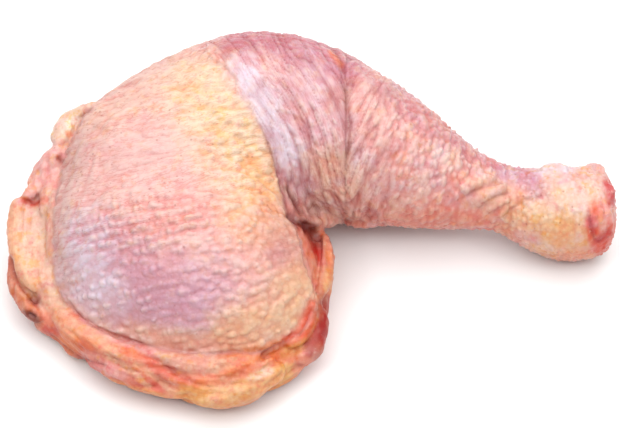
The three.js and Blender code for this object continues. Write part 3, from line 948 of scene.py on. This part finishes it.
def drawn_wrinkles(skin, directions):
    """Uneven wrinkles drawn out along the grain, with a spread of 1."""
    first, second = skin.edges.T
    spans = unit(skin.points[second] - skin.points[first])
    aligned = np.sum(spans * directions[first], axis=1) ** WRINKLE_GRAIN
    wrinkles = skin.spread(skin.noise("wrinkles"), aligned, WRINKLE_STEPS)
    return wrinkles / wrinkles.std()


def cut_creases(skin):
    """Depth of the creases in millimetres, and how strongly painted shade darkens them, from 0 to 1."""
    sunk = np.zeros(len(skin.points))
    shade_share = np.zeros(len(skin.points))
    for pixels, depth, width in CREASES.values():
        reach, share = line_distance(skin.pixels, curve_through(pixels, CREASE_STEPS))
        taper = np.minimum(1, CREASE_TAPER * np.minimum(share, 1 - share) + CREASE_TIP)
        cut = np.exp(-reach * PIXEL / width) * taper * skin.facing
        sunk += depth * cut
        shade_share = np.maximum(shade_share, min(depth, 1) * cut)
    return sunk, shade_share


def sculpt(piece):
    """Raises the skin's creases, wrinkles and bumps, and returns it with masks of its regions and relief."""
    mesh = piece.data
    skin = Skin(mesh)
    masks = skin.masks
    masks.update(regions(skin))
    directions, flow = grain(skin, masks["thigh"], masks["rim"])
    bumps = feather_bumps(skin, directions, flow)
    wrinkles = drawn_wrinkles(skin, directions)
    wrinkle_height = by_region(masks, WRINKLE_HEIGHT) * (1 - LEFT_EASE["wrinkles"] * skin.patch("left_rim"))
    # Long thin furrows lie where noise along the grain crosses zero
    furrows = np.exp(-np.abs(lattice_noise(flow / np.array(FURROW), FURROW_SEED)) / FURROW_SOFTNESS)
    furrow_depth = by_region(masks, FURROW_DEPTH)
    lumpy = masks["rim"] * (1 - LEFT_EASE["lumps"] * skin.patch("left_rim"))
    sunk, shade_share = cut_creases(skin)

    relief = bumps * by_region(masks, BUMP_HEIGHT) + wrinkles * wrinkle_height - furrows * furrow_depth
    relief += skin.noise("waves") * (1 - masks["under"]) + lumpy * skin.noise("lumps") - sunk
    points = skin.points + skin.normals * relief[:, None]
    points[:, 2] = np.maximum(points[:, 2], 0)
    set_points(mesh, points)
    # how strongly painted shade darkens the creases
    masks["crease"] = shade_share
    # how strongly painted shade darkens the furrows
    masks["furrow"] = furrows * furrow_depth / furrow_depth.max()
    height = (bumps - HEIGHT_MIDDLE) * by_region(masks, HEIGHT_OF_BUMPS) + HEIGHT_OF_WRINKLES * wrinkles
    masks["height"] = np.clip(0.5 + height, 0, 1)
    layer = mesh.attributes.new("flow", "FLOAT_VECTOR", "POINT")
    layer.data.foreach_set("vector", (flow / np.array(STREAK)).astype(np.float32).ravel())
    return skin


def cover(tone, colour, share):
    """A tone covered by a named colour to its share."""
    return mix(tone, linear(*COLOURS[colour]), share[:, None])


def cover_patches(skin, tone, patches, edge, mask):
    """A tone covered by patches of colour within a mask."""
    for colour, size, seed, strength in patches:
        patch = ramp(lattice_noise(skin.points / size, seed), *edge)
        tone = cover(tone, colour, patch * strength * mask)
    return tone


def skin_tone(skin):
    """Colour of the skin from its strokes, patches and rings."""
    masks = skin.masks
    tone = np.tile(linear(*COLOURS["pink"]), (len(skin.points), 1))
    tone = cover(tone, "salmon", masks["rim"])
    leg = (1 - masks["thigh"]) * (1 - masks["rim"])
    for part, mask in (("leg", leg), ("thigh", masks["thigh"]), ("rim", masks["rim"])):
        for colour, pixels, half_width, strength in STROKES[part]:
            stroke = skin.stroke(pixels, half_width, STROKE_SOFTNESS[part])
            tone = cover(tone, colour, strength * mask * stroke)
    tone = cover_patches(skin, tone, LEG_PATCHES, LEG_PATCH_EDGE, leg)
    patchy_rim = masks["rim"] * mix(SEEN_RIM_PATCHES, 1, masks["back"])
    tone = cover_patches(skin, tone, RIM_PATCHES, RIM_PATCH_EDGE, patchy_rim)
    reach = np.linalg.norm((skin.points - np.array(BONE[-1]))[:, 1:], axis=1) + CUT_RAGGED * skin.ragged
    cut_end = ramp(-(skin.normals @ FORWARD), *CUT_TURN_EDGE) * ramp(skin.points[:, 0], *CUT_PLACE_EDGE)
    for colour, radius, strength in CUT_RINGS:
        tone = cover(tone, colour, ramp(reach, radius, radius - CUT_SOFTNESS) * strength * cut_end)
    return cover(tone, "brown", masks["under"])


def shade_relief(tone, masks):
    """A tone with darker valleys, creases and furrows and with paler crests: painted shade in the creases and
    furrows, partly painted shade in the valleys and partly a painted highlight on the crests.
    """
    contrast = by_region(masks, CONTRAST)
    golden = np.maximum(masks["golden"], GOLDEN_SHANK * masks["shank"] * (1 - masks["wrist"]))
    valley_tone_and_shade = mix(np.array(VALLEY_TONE_AND_SHADE), np.array(GOLDEN_VALLEY_TONE_AND_SHADE), golden[:, None])
    # low places: partly the skin's redder colour, partly painted shade
    tone = tone * mix(1, valley_tone_and_shade, (contrast * ramp(masks["height"], *VALLEY_EDGE))[:, None])
    # high places: partly the skin's paler colour, partly a painted highlight
    tone = cover(tone, "cream", CREST_TONE_AND_HIGHLIGHT_SHARE * contrast * ramp(masks["height"], *CREST_EDGE))
    # painted shade in the creases
    tone = tone * mix(1, np.array(CREASE_SHADE_TINT), (CREASE_SHADE_SHARE * masks["crease"])[:, None])
    # painted shade in the furrows
    return tone * mix(1, np.array(FURROW_SHADE_TINT), masks["furrow"][:, None])


def paint(piece, skin):
    """Stores the skin's colour, painted shade and highlights included, and how strongly each of the
    material's patterns shows on it.
    """
    tone = shade_relief(skin_tone(skin), skin.masks)
    layer = piece.data.attributes.new("tone", "FLOAT_COLOR", "POINT")
    layer.data.foreach_set("color", np.column_stack([tone, np.ones(len(tone))]).astype(np.float32).ravel())
    for name, values in LAYERS.items():
        layer = piece.data.attributes.new(name, "FLOAT", "POINT")
        shares = np.clip(by_region(skin.masks, values), 0, 1)
        layer.data.foreach_set("value", shares.astype(np.float32))


def thin_out(piece):
    """Keeps the mesh under its most triangles, dropping those that shape it least."""
    count = sum(len(face.vertices) - 2 for face in piece.data.polygons)
    if count > MOST_TRIANGLES:
        modifier = piece.modifiers.new("thin", "DECIMATE")
        modifier.ratio = MOST_TRIANGLES / count
        apply_modifiers(piece)


def drop_bubbles(piece):
    """Takes out small closed shells that the rolls have shut in: all that does not join the shank's end."""
    shape = bmesh.new()
    shape.from_mesh(piece.data)
    front = {max(shape.verts, key=lambda point: point.co.x)}
    outside = set(front)
    while front:
        front = {edge.other_vert(point) for point in front for edge in point.link_edges} - outside
        outside |= front
    bubbles = [point for point in shape.verts if point not in outside]
    bmesh.ops.delete(shape, geom=bubbles, context="VERTS")
    shape.to_mesh(piece.data)
    shape.free()


class Nodes:
    """Short ways to add a material's nodes."""

    def __init__(self, material):
        self.nodes = material.node_tree.nodes
        self.links = material.node_tree.links

    def set(self, socket, value):
        if isinstance(value, bpy.types.NodeSocket):
            self.links.new(value, socket)
        else:
            socket.default_value = value

    def attribute(self, name, output="Fac"):
        node = self.nodes.new("ShaderNodeAttribute")
        node.attribute_name = name
        return node.outputs[output]

    def noise(self, place, scale, detail, roughness):
        node = self.nodes.new("ShaderNodeTexNoise")
        self.set(node.inputs["Vector"], place)
        self.set(node.inputs["Scale"], scale)
        self.set(node.inputs["Detail"], detail)
        self.set(node.inputs["Roughness"], roughness)
        return node.outputs["Fac"]

    def cells(self, place, scale):
        """Distance to the nearest of points scattered over the skin."""
        node = self.nodes.new("ShaderNodeTexVoronoi")
        self.set(node.inputs["Vector"], place)
        self.set(node.inputs["Scale"], scale)
        return node.outputs["Distance"]

    def ramp(self, value, low, high, low_to, high_to):
        node = self.nodes.new("ShaderNodeMapRange")
        node.interpolation_type = "SMOOTHSTEP"
        for socket, given in zip(node.inputs, (value, low, high, low_to, high_to)):
            self.set(socket, given)
        return node.outputs[0]

    def maths(self, operation, *values):
        node = self.nodes.new("ShaderNodeMath")
        node.operation = operation
        for socket, value in zip(node.inputs, values):
            self.set(socket, value)
        return node.outputs[0]

    def times(self, first, second):
        return self.maths("MULTIPLY", first, second)

    def blend(self, first, second, share, way):
        node = self.nodes.new("ShaderNodeMix")
        node.data_type = "RGBA"
        node.blend_type = way
        self.set(node.inputs[6], first)
        self.set(node.inputs[7], second)
        self.set(node.inputs[0], share)
        return node.outputs[2]


def set_inputs(node, values):
    for name, value in values.items():
        node.inputs[name].default_value = value


def skin_patterns(kit):
    """Noise and cells that pattern the skin."""
    place = kit.nodes.new("ShaderNodeTexCoord").outputs["Object"]
    patterns = {name: kit.noise(place, *look) for name, look in SKIN_NOISE.items()}
    patterns.update({name: kit.cells(place, scale) for name, scale in SKIN_CELLS.items()})
    streaks = kit.noise(kit.attribute("flow", "Vector"), *STREAK_NOISE)
    patterns["streaks"] = streaks
    patterns["lines"] = kit.maths("ABSOLUTE", kit.maths("SUBTRACT", streaks, LINE_LEVEL))
    return patterns


def skin_colour(kit, patterns, layers):
    """The painted tone under all the tints."""
    colour = kit.attribute("tone", "Color")
    for tint, layer, edges in SKIN_TINTS:
        share = layers[layer]
        for name, edge in edges.items():
            share = kit.times(share, kit.ramp(patterns[name], *edge))
        if tint in COLOURS:
            colour = kit.blend(colour, (*linear(*COLOURS[tint]), 1), share, "MIX")
        else:
            colour = kit.blend(colour, (*tint, 1), share, "MULTIPLY")
    return colour


def skin_material():
    material = bpy.data.materials.new("raw_skin")
    material.use_nodes = True
    kit = Nodes(material)
    patterns = skin_patterns(kit)
    layers = {"all": 1.0, **{name: kit.attribute(name) for name in LAYERS}}
    shader = kit.nodes["Principled BSDF"]
    set_inputs(shader, SKIN_SHADER)
    kit.set(shader.inputs["Base Color"], skin_colour(kit, patterns, layers))
    patches = kit.ramp(patterns["patches"], *ROUGH_PATCHES)
    kit.set(shader.inputs["Roughness"], kit.times(layers["rough"], patches))

    bump = kit.nodes.new("ShaderNodeBump")
    set_inputs(bump, SKIN_BUMP)
    streaks = kit.times(patterns["streaks"], layers["streaky"])
    relief = kit.maths("ADD", streaks, kit.times(patterns["flecks"], FLECK_HEIGHT))
    cobbles = kit.times(patterns["pebbles"], kit.times(layers["cobbled"], PEBBLE_HEIGHT))
    kit.set(bump.inputs["Height"], kit.maths("ADD", relief, cobbles))
    kit.set(shader.inputs["Normal"], bump.outputs["Normal"])
    return material


def floor_material():
    material = bpy.data.materials.new("white_table")
    material.use_nodes = True
    set_inputs(material.node_tree.nodes["Principled BSDF"], FLOOR_SHADER)
    return material


def stage_floor():
    reach = FLOOR_REACH
    corners = [(-reach, -reach, 0), (reach, -reach, 0), (reach, reach, 0), (-reach, reach, 0)]
    mesh = bpy.data.meshes.new("floor")
    mesh.from_pydata(corners, [], [(0, 1, 2, 3)])
    floor = bpy.data.objects.new("floor", mesh)
    floor.data.materials.append(floor_material())
    bpy.context.scene.collection.objects.link(floor)


def soft_light(name, place, side, power):
    """A square studio light aimed at the leg."""
    light = bpy.data.lights.new(name, "AREA")
    light.shape = "SQUARE"
    light.size = side
    light.energy = power
    lamp = bpy.data.objects.new(name, light)
    lamp.location = place
    lamp.rotation_euler = (Vector(AIM * MM) - Vector(place)).to_track_quat("-Z", "Y").to_euler()
    bpy.context.scene.collection.objects.link(lamp)


def studio():
    scene = bpy.context.scene
    world = bpy.data.worlds.new("studio")
    world.use_nodes = True
    set_inputs(world.node_tree.nodes["Background"], WORLD_SHADER)
    scene.world = world
    for name, (place, side, power) in LIGHTS.items():
        soft_light(name, place, side, power)
    scene.view_settings.view_transform = "Standard"
    scene.cycles.use_denoising = True


def photo_camera():
    data = bpy.data.cameras.new("camera")
    data.sensor_width = SENSOR_WIDTH
    data.lens = SENSOR_WIDTH * DISTANCE / (PHOTO_WIDTH * PIXEL)
    camera = bpy.data.objects.new("camera", data)
    camera.location = EYE * MM
    camera.rotation_euler = (math.pi / 2 - ELEVATION, 0, 0)
    bpy.context.scene.collection.objects.link(camera)
    bpy.context.scene.camera = camera


photo_camera()
studio()
stage_floor()
leg = leg_body()
skin = sculpt(leg)
paint(leg, skin)
thin_out(leg)
drop_bubbles(leg)
leg.data.shade_smooth()
leg.data.materials.clear()
leg.data.materials.append(skin_material())
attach(leg, "root")
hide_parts("leg_quarter")
